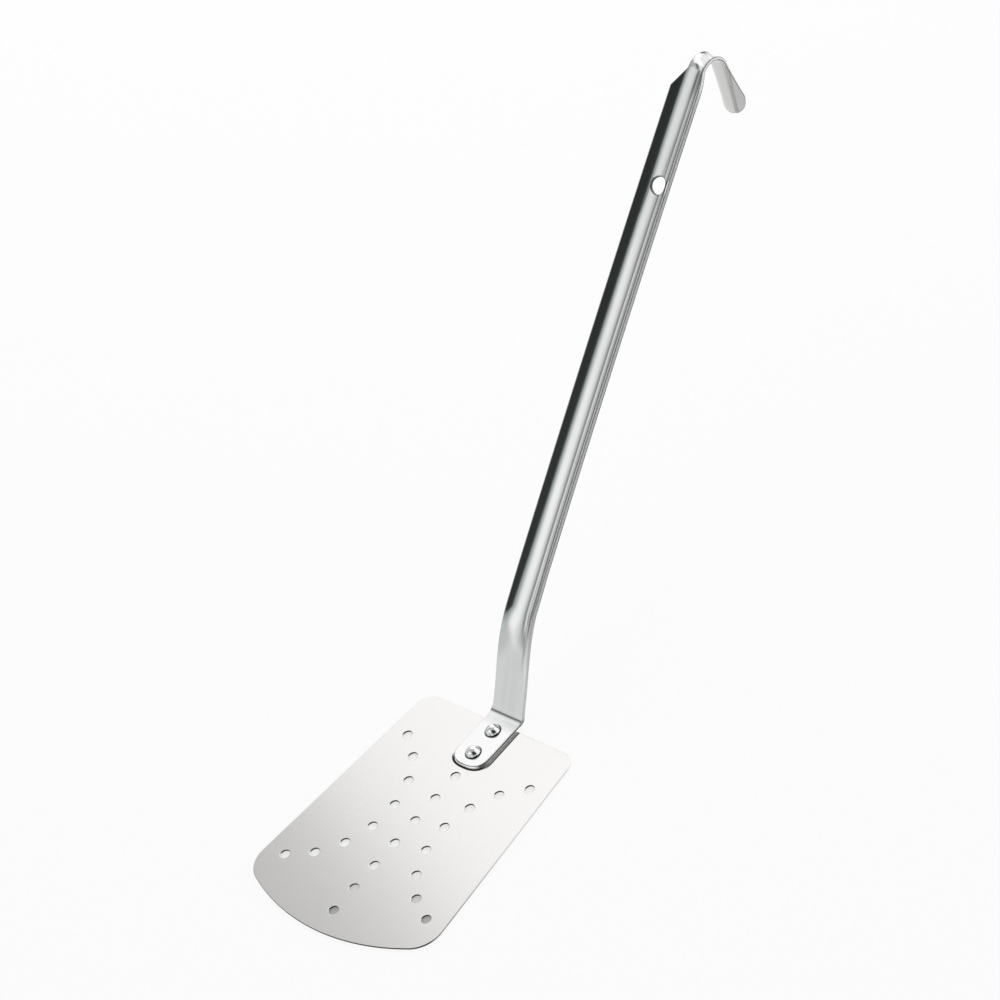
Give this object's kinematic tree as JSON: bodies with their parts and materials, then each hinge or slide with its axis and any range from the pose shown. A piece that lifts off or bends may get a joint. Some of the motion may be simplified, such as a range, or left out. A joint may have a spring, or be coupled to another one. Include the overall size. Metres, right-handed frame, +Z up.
{
  "type": "perforated turner",
  "caption": "Perforated steel turner: flat flared blade with drain holes, riveted to a gutter-section strip handle with a hanging hole and a bent-over hook end.",
  "frame": {"origin": "on the blade's underside, on its centre line, halfway between its front and rear edges", "axes": "+Z up out of the blade's top face, +Y from the blade's front edge towards the handle, +X to the right with the handle pointing away"},
  "size_m": [0.1176, 0.4, 0.2088],
  "materials": {
    "polished_steel": "polished flat sheet",
    "satin_steel": "satin polished along the strip",
    "bright_steel": "bright polished"
  },
  "bodies": {
    "root": {"blade": "polished_steel", "handle": "satin_steel", "front_rivet": "bright_steel", "rear_rivet": "bright_steel"}
  },
  "joints": []
}
